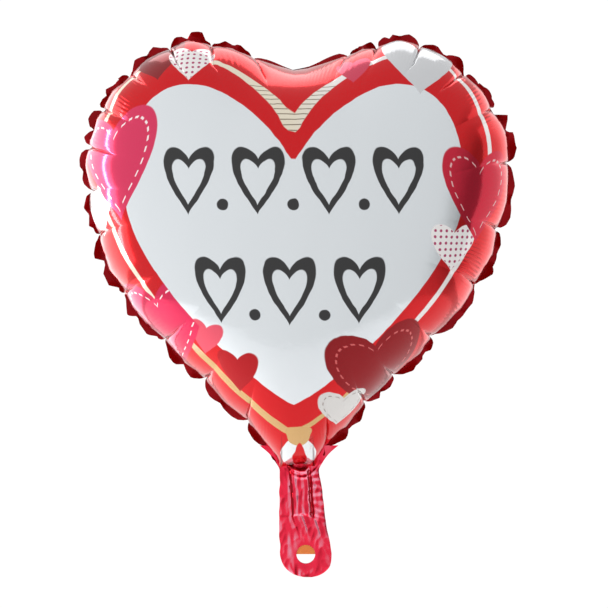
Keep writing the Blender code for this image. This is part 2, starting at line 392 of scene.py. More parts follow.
def film_grid(seam):
    """Flat points in rows from the seam inwards, and each row's distance from the seam."""
    loop, line, centre = film_lines(seam)
    rows = [loop + line * step / 1000.0 for step in RIM_STEPS]
    inner = rows[-1]
    for k in range(1, INNER_ROWS):
        share = 1.0 - k / INNER_ROWS
        rows.append(centre + (inner - centre) * share)
    depth = [step / 1000.0 for step in RIM_STEPS] + [0.045 + 0.005 * k for k in range(1, INNER_ROWS)]
    return np.array(rows), np.array(depth), centre


def puff_height(puffs, offs, widths, depth, rng):
    """How far the film stands out of its smooth shape, and how deep in a crease each point is."""
    number = puffs.max() + 1
    length = rng.uniform(0.034, 0.060, number + 1)
    strength = rng.uniform(0.75, 1.2, number + 1)
    swell = rng.uniform(0.8, 1.2, number)
    near_first = offs < 0.5
    crease = np.where(near_first, puffs, puffs + 1)
    gap = np.where(near_first, offs, 1.0 - offs) * widths
    barrel = np.sin(math.pi * offs) ** 0.75 * swell[puffs] * np.clip(widths / 0.050, 0.6, 1.25)
    fade = np.exp(-((depth[:, None] / PUFF_REACH) ** 2))
    notch = np.exp(-np.abs(gap) / CREASE_WIDTH)[None, :]
    reach = np.clip(1.0 - depth[:, None] / length[crease][None, :], 0.0, 1.0)
    ripple = 0.0005 * np.sin(6.0 * math.pi * offs + puffs) * np.exp(-depth[:, None] / 0.009)
    high = PUFF_BULGE * (barrel[None, :] - 0.55) * fade
    deep = notch * reach**0.6 * (0.5 + 0.5 * smooth_step(depth, 0.0, 0.010))[:, None]
    return high - CREASE_DEPTH * strength[crease][None, :] * deep + ripple, deep


def panel_shape(film):
    """The front panel's points, flat points, faces, seam normals, puffs and rim places."""
    flat, faces, points, _ = film
    seam, puffs, offs, widths, places = seam_columns()
    rows, depth, centre = film_grid(seam)
    count = rows.shape[1]
    targets = np.vstack([rows.reshape(-1, 2), centre[None, :]])
    shape = lift(targets, flat, faces, points)
    faces_all = panel_faces(len(rows), count)
    tri = np.vstack([faces_all[:, [0, 1, 2]], faces_all[:, [0, 2, 3]]])
    normals = corner_normals(shape, tri)
    normals *= np.sign(-normals[-1, 1])
    normals[:count, 1] = 0.0
    normals /= np.linalg.norm(normals, axis=1)[:, None]
    raised = np.zeros((len(rows), count))
    folds = raised.copy()
    rng = np.random.default_rng(PUFF_SEED)
    raised[:, : len(seam)], folds[:, : len(seam)] = puff_height(puffs, offs, widths, depth, rng)
    ends = smooth_step(np.minimum(np.arange(len(seam)), np.arange(len(seam))[::-1]), 2, 16)
    raised[:, : len(seam)] *= ends
    flat_rows = targets[:-1].reshape(len(rows), count, 2)
    raised += film_ripple(flat_rows, depth)
    final = shape.copy()
    final[:-1] += normals[:-1] * raised.reshape(-1, 1)
    final[:count, 1] = 0.0
    final[count:, 1] = np.minimum(final[count:, 1], -0.0003)
    rim = np.zeros((len(final), 3))
    rim[:-1, 0] = np.tile(np.append(places, np.full(count - len(seam), places[-1])), len(rows))
    rim[:-1, 1] = np.repeat(depth, count)
    rim[:-1, 2] = folds.ravel()
    rim[-1, 1] = depth[-1]
    return final, targets, faces_all, normals[: len(seam)], (puffs, offs, widths, places), rim


def film_ripple(flat_rows, depth):
    """Faint long waves that pull across tight film near the rim."""
    x, z = flat_rows[..., 0], flat_rows[..., 1]
    wave = np.sin(92.0 * x + 31.0 * z) * np.sin(57.0 * z - 43.0 * x + 1.0)
    patches = np.clip(np.sin(34.0 * z + 2.0 * x), 0.0, 1.0)
    fine = np.sin(410.0 * x + 260.0 * z + 3.0 * np.sin(60.0 * z)) * patches
    band = np.exp(-(((depth - 0.030) / 0.016) ** 2))[:, None]
    return 0.00022 * wave * smooth_step(depth, 0.0, 0.03)[:, None] + 0.00006 * fine * band


def panel_faces(rows, columns):
    """Quads between the rows, closed round the loop, and a fan of slim quads at the centre."""
    faces = []
    for i in range(rows - 1):
        here, above = i * columns, (i + 1) * columns
        for j in range(columns):
            after = (j + 1) % columns
            faces.append((here + j, here + after, above + after, above + j))
    middle = rows * columns
    last = (rows - 1) * columns
    for j in range(0, columns - 1, 2):
        faces.append((last + j, last + j + 1, last + (j + 2) % columns, middle))
    if columns % 2:
        faces.append((last + columns - 1, last, middle, middle))
    return np.array(faces)


def clean_faces(faces):
    """The faces without repeated corners."""
    return [tuple(dict.fromkeys(int(k) for k in face)) for face in faces]


def build_panel(name, node, side, film, material):
    """One foil on its side of the seam, with the fields that its print and the painted shade in its creases
    are drawn from.
    """
    points, flat, faces, normals, puffing, rim = panel_shape(film)
    if side > 0:
        points = points * (1.0, -1.0, 1.0)
        faces = faces[:, ::-1]
    piece = mesh_piece(name, points, clean_faces(faces), "balloon", [node])
    mirror = -1.0 if side > 0 else 1.0
    drawn = flat * (mirror, 1.0)
    attribute(piece, "flat", np.column_stack([drawn[:, 0], drawn[:, 1], np.zeros(len(drawn))]))
    attribute(piece, "rim", rim)
    attribute(piece, "silver", signed_distance(drawn, whole_heart(silver_half()) + (-0.003, 0.0)))
    attribute(piece, "outline", signed_distance(drawn, whole_heart(outline_half()) + (-0.004, 0.0)))
    piece.data.materials.append(material)
    return piece, (points, normals, puffing)


def silver_half():
    """Half the printed silver heart's edge, on the flat film."""
    return heart_path(
        (0.0, 0.077), (0.141, 0.252), (0.088, 0.344), (0.0, 0.275),
        ((0.060, 0.033), 0.055, 0.062, 0.034, 0.034, (0.016, 0.031)),
    )[::6]


def outline_half():
    """Half the thin printed outline round it."""
    return heart_path(
        (0.0, 0.049), (0.170, 0.272), (0.108, 0.379), (0.0, 0.303),
        ((0.074, 0.036), 0.062, 0.062, 0.036, 0.042, (0.018, 0.044)),
    )[::6]


# ---------------------------------------------------------------- hem


def eased(where, stops, heights):
    """Like np.interp, with each stretch between two stops eased in and out."""
    n = np.clip(np.searchsorted(stops, where, side="right") - 1, 0, len(stops) - 2)
    t = smooth_step(where, stops[n], stops[n + 1])
    return heights[n] * (1.0 - t) + heights[n + 1] * t


def hem_profile(rng):
    """One puff's hem: fold places along it, how far each stands out, and how far it leans back or forward."""
    turn = rng.choice([-1.0, 1.0])
    split = rng.uniform(0.44, 0.62)
    point, second = rng.uniform(0.45, 0.75) * split, split + rng.uniform(0.35, 0.65) * (1.0 - split)
    rise, valley = 0.5 * (point + split), 0.5 * (split + second)
    places = [0.0, 0.4 * point, point, rise, split, valley, second, 0.94, 1.0]
    tall, low = rng.uniform(0.85, 1.0), rng.uniform(0.60, 0.90)
    reach = np.array([0.0, 0.62 * tall, tall, 0.78 * tall, 0.34, 0.72 * low, low, 0.45 * low, 0.0])
    sway = np.array([0.0, 0.5, 1.0, 0.4, -0.6, -0.2, 0.7, 0.4, 0.0]) * rng.uniform(0.6, 1.0) * turn
    return np.array(places), reach, HEM_SWAY * sway


def finer(values, parts):
    """The same run of values with each step cut into parts."""
    steps = np.arange((len(values) - 1) * parts + 1) / parts
    columns = np.reshape(values, (len(values), -1)).T
    return np.column_stack([np.interp(steps, np.arange(len(values)), c) for c in columns])


def hem_shape(puffing, rng):
    """How wide the hem is and how far it leans, at each of its columns."""
    puffs, _, _, places = puffing
    stops = np.append(places[np.flatnonzero(np.diff(puffs, prepend=-1))], places[-1])
    fine = finer(places, HEM_PARTS)[:, 0]
    puff = np.clip(np.searchsorted(stops, fine, side="right") - 1, 0, puffs.max())
    share = (fine - stops[puff]) / (stops[puff + 1] - stops[puff])
    profiles = [hem_profile(rng) for _ in range(puffs.max() + 1)]
    along = [(s, profiles[n]) for n, s in zip(puff, share)]
    reach = np.array([0.25 * eased(s, p[0], p[1]) + 0.75 * np.interp(s, p[0], p[1]) for s, p in along])
    sway = np.array([eased(s, p[0], p[2]) for s, p in along])
    return reach * np.clip((stops[puff + 1] - stops[puff]) / 0.045, 0.75, 1.15), sway


def build_hem(points, normals, puffing, material):
    """The fused margin outside the seam: folded flaps between the creases, small at the cleft."""
    count = len(puffing[0])
    seam = finer(points[:count], HEM_PARTS)
    outward = finer(normals * (1.0, 0.0, 1.0), HEM_PARTS)
    reach, sway = hem_shape(puffing, np.random.default_rng(HEM_SEED))
    ends = np.minimum(np.arange(len(seam)), np.arange(len(seam))[::-1])
    taper = smooth_step(ends, -9, 36)
    folded = 1.0 - 0.8 * (seam[:, 2] > 0.30) * (1.0 - smooth_step(np.abs(seam[:, 0]), 0.008, 0.050))
    width = HEM_WIDTH * reach * taper * folded
    rows = []
    for share in HEM_ROWS:
        row = seam + outward * (width * share)[:, None]
        row[:, 1] = sway * taper * max(share, 0.0) ** 1.2
        rows.append(row)
    grid, faces = np.array(rows).reshape(-1, 3), grid_faces(len(rows), len(seam))
    piece = mesh_piece("fused_hem", grid, faces, "balloon", ["edge_seal"])
    piece.data.set_sharp_from_angle(angle=math.radians(35))
    piece.data.materials.append(material)
    return piece


# ---------------------------------------------------------------- tail


def tail_half(z):
    """Half the tail's width: wider downwards, round at its foot, and flared into the hem above the neck."""
    low = TAIL_TOP_HALF + (TAIL_LOW_HALF - TAIL_TOP_HALF) * np.clip(-z / 0.070, 0.0, 1.0)
    into = np.clip(TAIL_CORNER - (z + TAIL_LENGTH), 0.0, TAIL_CORNER)
    flare = TAIL_FLARE * (np.clip(z + 0.002, 0.0, 1.0) / 0.021) ** 1.5
    return low - (TAIL_CORNER - np.sqrt(TAIL_CORNER**2 - into**2)) + flare


def film_noise(x, z, scale, seed):
    """Smooth noise over the film, stretched along the tail."""
    spots = np.column_stack([np.ravel(x) * scale, np.ravel(z) * scale * 0.6, np.full(np.size(x), seed)])
    return np.array([noise.noise(Vector(p)) for p in spots]).reshape(np.shape(x))


def pleats(across, stops, heights):
    """A folded profile's height at each distance from the tail's middle."""
    return np.interp(across, np.array(stops) / 1000.0, np.array(heights) / 1000.0)


# Profiles across the tail's film (mm): the gathered valve channel, the facets under the fold, and the foot
CHANNEL = (
    (-17, -11, -8.3, -7, -4.6, -2.6, 0.2, 2.4, 5.6, 8.2, 10.0, 13.0, 17),
    (0, 1.0, 0.1, 2.9, 3.3, 2.1, 3.2, 2.5, 3.3, 0.2, 1.7, 0.6, 0),
)
FACETS = (
    (-19, -13, -9, -8, -4, -1, 0.5, 5, 8.5, 10, 14, 19),
    (0, 1.3, 0.2, 1.3, 2.0, 1.5, 0.3, 1.9, 1.5, 0.3, 1.2, 0),
)
FOOT = ((-21, -14, -11, -8, -2, 2, 6, 11, 15, 21), (0, 0.9, 0.3, 0.9, 0.5, 0.9, 0.4, 0.9, 0.3, 0))


def crumple(x, z, seed):
    """How far one tail film stands off the other, where x is the distance from the tail's middle."""
    drift = 0.0016 * film_noise(x * 0.2, z, 60.0, seed) + 0.0012 * film_noise(x, z, 120.0, seed + 3.0)
    slant = np.clip(FOLD_Z - z, 0.0, 0.03)
    fold = FOLD_Z + 0.0014 - 0.12 * np.abs(x) - 0.35 * np.clip(x - 0.004, 0.0, 1.0)
    upper = smooth_step(z - fold, -0.0011, 0.0011)
    below = (1.0 - upper) * (1.0 - smooth_step(-z, 0.046, 0.064))
    foot = smooth_step(-z, 0.046, 0.062)
    neck = 1.0 - smooth_step(z, -0.008, 0.008)
    height = pleats(x + drift, *CHANNEL) * upper * neck
    height += pleats(x + drift - 0.25 * slant, *FACETS) * below + pleats(x + drift, *FOOT) * foot
    side = smooth_step(x, 0.008, 0.0105) * upper * neck
    steps = np.abs(np.mod((z + 0.15 * x + 2.0 * drift) / 0.0062, 1.0) - 0.5)
    height += 0.0020 * side * steps
    sag = 38.0 * x**2 - 0.12 * x
    narrow = 1.0 - smooth_step(np.abs(x + 0.001), 0.006, 0.011)
    knot = np.exp(-(((z + 0.0022 - sag) / 0.0020) ** 2)) * narrow
    height += 0.0030 * knot + 0.0012 * np.exp(-(((z + 0.0075 - 1.2 * sag) / 0.0013) ** 2)) * neck
    fine, coarse = film_noise(x, z, 170.0, seed + 9.0), film_noise(x, z, 75.0, seed)
    height += 0.0010 * np.abs(fine) + 0.0020 * np.abs(coarse)
    calm = 0.25 + 0.75 * smooth_step(np.hypot(x, z - HOLE[1]), 0.0085, 0.017)
    return np.clip(height, 0.0, 0.0075) * calm * (1.0 - 0.85 * smooth_step(z, 0.003, 0.008))


def tail_grid(levels, side, seed):
    """The film's points, and how far each spot is tilted towards the light."""
    across = np.linspace(-1.0, 1.0, TAIL_COLUMNS)
    z, s = np.meshgrid(levels, across, indexing="ij")
    half = np.maximum(tail_half(z), 0.0008)
    edge = 1.0 - np.abs(s) ** 9
    shift = 0.0014 * smooth_step(z, -0.045, -0.004)
    x = s * half + 0.0009 * film_noise(0.004 * np.sign(s), z, 190.0, 2.0) * np.abs(s) ** 3
    height = crumple(x, z, seed)
    y = side * (0.0002 + (0.0005 + height) * edge)
    sideways = np.gradient(height, axis=1) / np.gradient(x, axis=1)
    tilt = sideways - 0.8 * np.gradient(height, axis=0) / np.gradient(z, axis=0)
    return np.dstack([x + shift - TAIL_LEAN * np.minimum(z, 0.0), y, z]), tilt


def tail_film(name, node, levels, side, seed, material, hole=False):
    """One film of the tail between its levels, with its filling hole where it has one."""
    grid, tilt = tail_grid(levels, side, seed)
    rows, columns = grid.shape[:2]
    points, tilt = grid.reshape(-1, 3), tilt.ravel()
    faces = grid_faces(rows, columns)
    if side > 0:
        faces = faces[:, ::-1]
    if hole:
        points, faces, tilt = punch(points, faces, tilt)
    piece = mesh_piece(name, points, faces, None, [node])
    piece.data.set_sharp_from_angle(angle=math.radians(32))
    attribute(piece, "tilt", tilt)
    piece.data.materials.append(material)
    return piece


def punch(points, faces, tilt):
    """The round filling hole: faces inside it go, and the corners left on its edge move onto the circle."""
    arm = points[:, [0, 2]] - HOLE[:2]
    far = np.hypot(*arm.T)
    faces = faces[~(far[faces] < HOLE[2]).any(axis=1) | (far[faces].mean(axis=1) > HOLE[2] + 0.0003)]
    uses = np.bincount(faces.ravel(), minlength=len(points))
    rim = (uses > 0) & (far < HOLE[2] + 0.0013)
    moved = points.copy()
    moved[rim, 0] = HOLE[0] + arm[rim, 0] / far[rim] * HOLE[2]
    moved[rim, 2] = HOLE[1] + arm[rim, 1] / far[rim] * HOLE[2]
    keep = np.where(uses > 0)[0]
    number = np.full(len(points), -1)
    number[keep] = np.arange(len(keep))
    return moved[keep], number[faces], tilt[keep]


def build_tail(material):
    """The front tail's two pieces, and the back's."""
    pairs = []
    upper = np.linspace(0.0190, TAIL_SPLIT, 62)
    lower = np.linspace(TAIL_SPLIT, -TAIL_LENGTH + 0.0001, 104)
    for word, side, seed in (("front", -1.0, FRONT_TAIL_SEED), ("back", 1.0, BACK_TAIL_SEED)):
        top = tail_film(f"tail_{word}_upper", f"tail_{word}_film", upper, side, seed, material)
        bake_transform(top)
        low = tail_film(
            f"tail_{word}_lower", f"tail_tip_{word}_film", lower, side, seed, material, hole=True
        )
        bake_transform(low)
        pairs.append([top, low])
    return pairs


# ---------------------------------------------------------------- shader nodes


class Nodes:
    """Shorthand for a material's node tree: each call adds a node and gives its output."""

    def __init__(self, name):
        self.material = bpy.data.materials.new(name)
        self.material.use_nodes = True
        self.tree = self.material.node_tree
        self.shader = self.tree.nodes["Principled BSDF"]

    def put(self, socket, value):
        if isinstance(value, (int, float)):
            socket.default_value = value
        elif isinstance(value, tuple):
            socket.default_value = value if len(value) == len(socket.default_value) else (*value, 1.0)
        else:
            self.tree.links.new(value, socket)

    def maths(self, operation, *values):
        node = self.tree.nodes.new("ShaderNodeMath")
        node.operation = operation
        for socket, value in zip(node.inputs, values):
            self.put(socket, value)
        return node.outputs[0]

    def field(self, name, output="Fac"):
        node = self.tree.nodes.new("ShaderNodeAttribute")
        node.attribute_name = name
        return node.outputs[output]

    def ramp(self, value, low, high):
        node = self.tree.nodes.new("ShaderNodeMapRange")
        self.put(node.inputs["Value"], value)
        node.inputs["From Min"].default_value = low
        node.inputs["From Max"].default_value = high
        return node.outputs[0]

    def mix(self, share, first, second):
        node = self.tree.nodes.new("ShaderNodeMix")
        node.data_type = "RGBA"
        self.put(node.inputs[0], share)
        self.put(node.inputs[6], first)
        self.put(node.inputs[7], second)
        return node.outputs[2]

    def noise(self, where, scale, detail=2.0, stretch=None):
        if stretch:
            node = self.tree.nodes.new("ShaderNodeMapping")
            self.put(node.inputs["Vector"], where)
            node.inputs["Scale"].default_value = stretch
            where = node.outputs[0]
        node = self.tree.nodes.new("ShaderNodeTexNoise")
        self.put(node.inputs["Vector"], where)
        node.inputs["Scale"].default_value = scale
        node.inputs["Detail"].default_value = detail
        return node.outputs["Fac"]

    def bump(self, height, strength, distance):
        node = self.tree.nodes.new("ShaderNodeBump")
        node.inputs["Strength"].default_value = strength
        node.inputs["Distance"].default_value = distance
        self.put(node.inputs["Height"], height)
        self.put(self.shader.inputs["Normal"], node.outputs[0])

    def set(self, **values):
        for name, value in values.items():
            self.put(self.shader.inputs[name.replace("_", " ")], value)

    def place(self, flat, centre, half, tall, turn):
        """Coordinates about a drawn motif: 1 at its half width and half height."""
        node = self.tree.nodes.new("ShaderNodeMapping")
        node.vector_type = "TEXTURE"
        self.put(node.inputs["Vector"], flat)
        node.inputs["Location"].default_value = (centre[0] / 1000.0, centre[1] / 1000.0, 0.0)
        node.inputs["Rotation"].default_value = (0.0, 0.0, math.radians(turn))
        node.inputs["Scale"].default_value = (half / 1000.0, tall / 1000.0, 1.0)
        split = self.tree.nodes.new("ShaderNodeSeparateXYZ")
        self.put(split.inputs[0], node.outputs[0])
        return split.outputs[0], split.outputs[1]

    def heart(self, u, v):
        """Less than 1 inside a heart of half width 1, and a bent height that turns round it."""
        side = self.maths("ABSOLUTE", u)
        lean = self.maths("MULTIPLY", self.maths("POWER", side, 0.75), 0.98)
        bent = self.maths("SUBTRACT", v, lean)
        square = self.maths("ADD", self.maths("MULTIPLY", u, u), self.maths("MULTIPLY", bent, bent))
        return self.maths("SQRT", square), bent

    def below(self, value, limit, soft=0.02):
        """1 under the limit and 0 over it, with a soft edge."""
        return self.ramp(value, limit + soft / 2.0, limit - soft / 2.0)

    def band(self, value, middle, half, soft=0.02):
        """1 within half of the middle value."""
        off = self.maths("ABSOLUTE", self.maths("SUBTRACT", value, middle))
        return self.below(off, half, soft)

    def both(self, first, second):
        return self.maths("MULTIPLY", first, second)


class Print:
    """Ink laid on foil layer by layer, with painted shade and painted highlights laid the same way: a colour,
    and how much of the foil's metal still shows through it.
    """

    def __init__(self, nodes, colour, metal):
        self.nodes, self.colour, self.metal = nodes, colour, metal

    def lay(self, mask, colour, metal):
        self.colour = self.nodes.mix(mask, self.colour, colour)
        change = self.nodes.maths("SUBTRACT", metal, self.metal)
        self.metal = self.nodes.maths("MULTIPLY_ADD", mask, change, self.metal)


# Inks, and the bare foil
RED = (0.68, 0.008, 0.012)
WHITE = (0.90, 0.87, 0.86)
SILVER = (0.80, 0.84, 0.87)
CREAM = (0.86, 0.78, 0.62)
GOLD = (0.70, 0.42, 0.16)
BLACK = (0.006, 0.006, 0.007)

# Drawn hearts: centre, half width, half height (mm in the flat film), turn (degrees), colour, how much
# metal shows, and what is drawn on it. A tucked heart lies under the silver one.
HEARTS = (
    ((-124, 369), 25, 20, 12, (0.26, 0.008, 0.012), 0.7, ""),
    ((-94, 364), 20, 16, 4, WHITE, 0.15, "dots"),
    ((50, 362), 15, 13, -4, (0.66, 0.055, 0.110), 0.8, ""),
    ((107, 361), 33, 27, -8, (0.66, 0.67, 0.69), 0.30, ""),
    # Painted highlight: the white heart here stands for part of the broad highlight that the left light
    # throws along the rim.
    ((-180, 235), 25, 19, 10, WHITE, 0.25, ""),
    ((-153, 268), 42, 38, 6, (0.72, 0.040, 0.120), 0.85, "white"),
    ((-78, 127), 15, 13, -10, (0.78, 0.09, 0.14), 0.8, ""),
    ((-116, 126), 46, 36, 12, (0.70, 0.020, 0.090), 0.85, "tucked"),
    ((-50, 98), 18, 16, 0, (0.46, 0.003, 0.008), 0.85, ""),
    ((131, 203), 22, 16, 0, WHITE, 0.15, "dots"),
    ((154, 243), 36, 32, 0, (0.60, 0.012, 0.040), 0.85, "pink"),
    ((72, 89), 44, 36, 10, (0.27, 0.002, 0.006), 0.85, "rose"),
    ((38, 63), 23, 15, -8, (0.72, 0.70, 0.68), 0.35, "fine"),
)
DOT_PITCH, DOT_INK = 5.2, (0.45, 0.04, 0.14)

# Rows of black outlined hearts on the silver (mm): middle, height, pitch, number of hearts
ROWS = ((-3.0, 256.0, 56.0, 4), (-6.0, 168.0, 56.0, 3))
ROW_HEART_HALF, ROW_HEART_TALL = 21.0, 22.0
ROW_STROKE = (0.83, 0.175)
ROW_DOT_DROP, ROW_DOT_RADIUS = 14.0, 4.6

# Stitches round a drawn heart: colour, and half width (mm)
THREADS = {
    "white": ((0.92, 0.80, 0.80), 0.85),
    "tucked": ((0.92, 0.80, 0.80), 0.85),
    "pink": ((0.80, 0.46, 0.46), 0.70),
    "rose": ((0.70, 0.10, 0.10), 0.75),
    "fine": ((0.25, 0.18, 0.16), 0.45),
}


def lay_heart(nodes, ink, flat, spec):
    """One decorative heart, with its row of stitches or its dots."""
    centre, half, tall, turn, colour, metal, extra = spec
    u, v = nodes.place(flat, centre, half, tall, turn)
    rho, bent = nodes.heart(u, v)
    clear = nodes.ramp(nodes.field("silver"), 0.0003, -0.0003) if extra == "tucked" else 1.0
    ink.lay(nodes.both(nodes.below(rho, 1.0, 0.9 / half), clear), colour, metal)
    if extra in THREADS:
        angle = nodes.maths("ARCTAN2", bent, u)
        dashes = nodes.maths("SINE", nodes.maths("MULTIPLY", angle, round(half * 0.62)))
        thread, wide = THREADS[extra]
        line = nodes.band(rho, 0.80, wide / half, 0.5 / half)
        ink.lay(nodes.both(nodes.both(line, clear), nodes.ramp(dashes, -0.25, 0.05)), thread, 0.1)
    if extra == "dots":
        spots = []
        for axis, size in ((u, half), (v, tall)):
            cell = nodes.maths("FRACT", nodes.maths("MULTIPLY", axis, size / DOT_PITCH))
            spots.append(nodes.maths("SUBTRACT", cell, 0.5))
        away = nodes.maths("SQRT", nodes.maths("ADD", *(nodes.maths("MULTIPLY", s, s) for s in spots)))
        ink.lay(nodes.both(nodes.below(away, 0.24, 0.10), nodes.below(rho, 0.97, 0.02)), DOT_INK, 0.3)


def lay_row(nodes, ink, flat, middle, height, pitch, number):
    """A row of plain black hearts drawn in outline, with a dot between each two."""
    u, v = nodes.place(flat, (middle, height), 1.0, 1.0, 0.0)
    shifted = nodes.maths("ADD", nodes.maths("DIVIDE", u, pitch), 0.5 * number)
    cell = nodes.maths("SUBTRACT", nodes.maths("FRACT", shifted), 0.5)
    span = nodes.below(nodes.maths("ABSOLUTE", u), 0.5 * pitch * number, 0.5)
    across = nodes.maths("MULTIPLY", cell, pitch / ROW_HEART_HALF)
    rho, _ = nodes.heart(across, nodes.maths("DIVIDE", v, ROW_HEART_TALL))
    ink.lay(nodes.both(nodes.band(rho, *ROW_STROKE, 0.03), span), BLACK, 0.0)
    near = nodes.maths("SUBTRACT", nodes.maths("FRACT", nodes.maths("ADD", shifted, 0.5)), 0.5)
    wide = nodes.maths("MULTIPLY", near, pitch)
    tall = nodes.maths("ADD", v, ROW_DOT_DROP)
    away = nodes.maths("SQRT", nodes.maths("ADD", nodes.both(wide, wide), nodes.both(tall, tall)))
    inner = nodes.below(nodes.maths("ABSOLUTE", u), 0.5 * pitch * number - 12.0, 0.5)
    ink.lay(nodes.both(nodes.below(away, ROW_DOT_RADIUS, 0.6), inner), BLACK, 0.0)


def lay_outline(nodes, ink, flat):
    """The thin heart outline between the silver heart and the rim: cream and ruled above, gold below."""
    u, v = nodes.place(flat, (-4.0, 300.0), 1.0, 1.0, 0.0)
    top = nodes.both(nodes.ramp(v, -8.0, 6.0), nodes.ramp(nodes.maths("ABSOLUTE", u), 62.0, 8.0))
    gold = nodes.ramp(v, -165.0, -190.0)
    thick = nodes.both(gold, nodes.ramp(u, 0.0, -8.0))
    wide = nodes.maths("MULTIPLY_ADD", thick, 0.0014, nodes.maths("MULTIPLY_ADD", top, 0.0026, 0.0024))
    off = nodes.maths("ABSOLUTE", nodes.field("outline"))
    line = nodes.ramp(nodes.maths("SUBTRACT", off, wide), 0.0004, -0.0004)
    tint = nodes.mix(gold, nodes.mix(nodes.ramp(u, 0.0, 40.0), CREAM, WHITE), GOLD)
    ink.lay(line, tint, 0.25)
    rules = nodes.band(nodes.maths("FRACT", nodes.maths("DIVIDE", v, 5.0)), 0.5, 0.09, 0.10)
    ruled = nodes.both(nodes.ramp(v, 52.0, 48.0), nodes.ramp(nodes.maths("ABSOLUTE", u), 46.0, 42.0))
    above = nodes.both(ruled, nodes.ramp(v, -9.0, -7.0))
    ink.lay(nodes.both(nodes.both(line, rules), above), (0.20, 0.15, 0.10), 0.1)


def lay_spot(nodes, ink, flat, centre, half, tall, taper, colour, metal):
    """A drawn drop: an ellipse whose upper half narrows by taper."""
    u, v = nodes.place(flat, centre, half, tall, 0.0)
    wide = nodes.maths("MULTIPLY", u, nodes.maths("MULTIPLY_ADD", nodes.maths("MAXIMUM", v, 0.0), taper, 1.0))
    rho = nodes.maths("SQRT", nodes.maths("ADD", nodes.both(wide, wide), nodes.both(v, v)))
    ink.lay(nodes.below(rho, 1.0, 0.6 / half), colour, metal)


def lay_foot(nodes, ink, flat):
    """The heart's tip: the crossing gold lines, a painted reflection of the white surround in silver-white
    beneath them, and a red drop on it.
    """
    # Painted reflection: the silver-white spot under the gold lines.
    lay_spot(nodes, ink, flat, (1.0, 24.0), 17.0, 22.0, 0.35, (0.84, 0.86, 0.87), 0.8)
    lay_spot(nodes, ink, flat, (1.0, 46.0), 10.0, 10.0, -0.5, GOLD, 0.4)
    lay_spot(nodes, ink, flat, (2.0, 22.0), 6.5, 17.0, 0.8, RED, 0.85)


def paint_crease_shade(nodes, ink):
    """Painted shade in the sharp folds of the rim: the foil's colour laid near black where the creases are
    deep.
    """
    split = nodes.tree.nodes.new("ShaderNodeSeparateXYZ")
    nodes.put(split.inputs[0], nodes.field("rim", "Vector"))
    dark = nodes.maths("MULTIPLY", nodes.ramp(split.outputs[2], 0.30, 0.75), 0.85)
    # Painted shade: near-black red laid along the creases.
    ink.lay(dark, (0.10, 0.002, 0.004), 0.8)


def rim_ripples(nodes, flat):
    """Fine ripples across the rim, where the film is gathered, and a slight unevenness everywhere."""
    split = nodes.tree.nodes.new("ShaderNodeSeparateXYZ")
    nodes.put(split.inputs[0], nodes.field("rim", "Vector"))
    wave = nodes.maths("SINE", nodes.maths("MULTIPLY", split.outputs[0], 2.0 * math.pi / 0.0044))
    band = nodes.band(split.outputs[1], 0.036, 0.013, 0.018)
    patch = nodes.ramp(nodes.noise(flat, 22.0, 1.0), 0.48, 0.66)
    ripple = nodes.maths("MULTIPLY", nodes.both(wave, band), nodes.maths("MULTIPLY", patch, 0.26))
    return nodes.maths("MULTIPLY_ADD", nodes.noise(flat, 60.0, 2.0), 0.35, ripple)


def printed_foil_and_painted_light(name):
    """Metallised film with the whole print on it, drawn from its flat places, and with painted shade in the
    rim's creases, a painted reflection at the heart's tip and a painted highlight on the left rim.
    """
    nodes = Nodes(name)
    flat = nodes.field("flat", "Vector")
    grain = nodes.noise(flat, 9.0, 3.0)
    red = nodes.mix(grain, (0.62, 0.006, 0.010), (0.72, 0.010, 0.014))
    ink = Print(nodes, red, 0.90)
    ink.lay(nodes.ramp(nodes.field("silver"), -0.0003, 0.0003), SILVER, 0.92)
    lay_outline(nodes, ink, flat)
    for spec in HEARTS:
        lay_heart(nodes, ink, flat, spec)
    lay_foot(nodes, ink, flat)
    paint_crease_shade(nodes, ink)
    for row in ROWS:
        lay_row(nodes, ink, flat, *row)
    nodes.set(Base_Color=ink.colour, Metallic=ink.metal)
    nodes.set(Roughness=nodes.maths("MULTIPLY_ADD", grain, 0.08, 0.10))
    nodes.set(Coat_Weight=0.35, Coat_Roughness=0.04)
    nodes.bump(rim_ripples(nodes, flat), 0.5, 0.001)
    return nodes.material


def object_space(nodes):
    return nodes.tree.nodes.new("ShaderNodeTexCoord").outputs["Object"]


def hem_foil_painted_shade():
    """The welded margin, slightly crinkled, in a dark red that is painted shade on its red film."""
    nodes = Nodes("hem_foil_painted_shade")
    where = object_space(nodes)
    patch = nodes.noise(where, 38.0, 3.0)
    # Painted shade: the red film's colour darkened to a deep red, in random patches.
    nodes.set(Base_Color=nodes.mix(patch, (0.15, 0.0008, 0.003), (0.42, 0.003, 0.008)))
    nodes.set(Metallic=0.85, Roughness=nodes.maths("MULTIPLY_ADD", patch, 0.15, 0.16))
    nodes.bump(nodes.noise(where, 420.0, 2.0), 0.25, 0.0004)
    return nodes.material


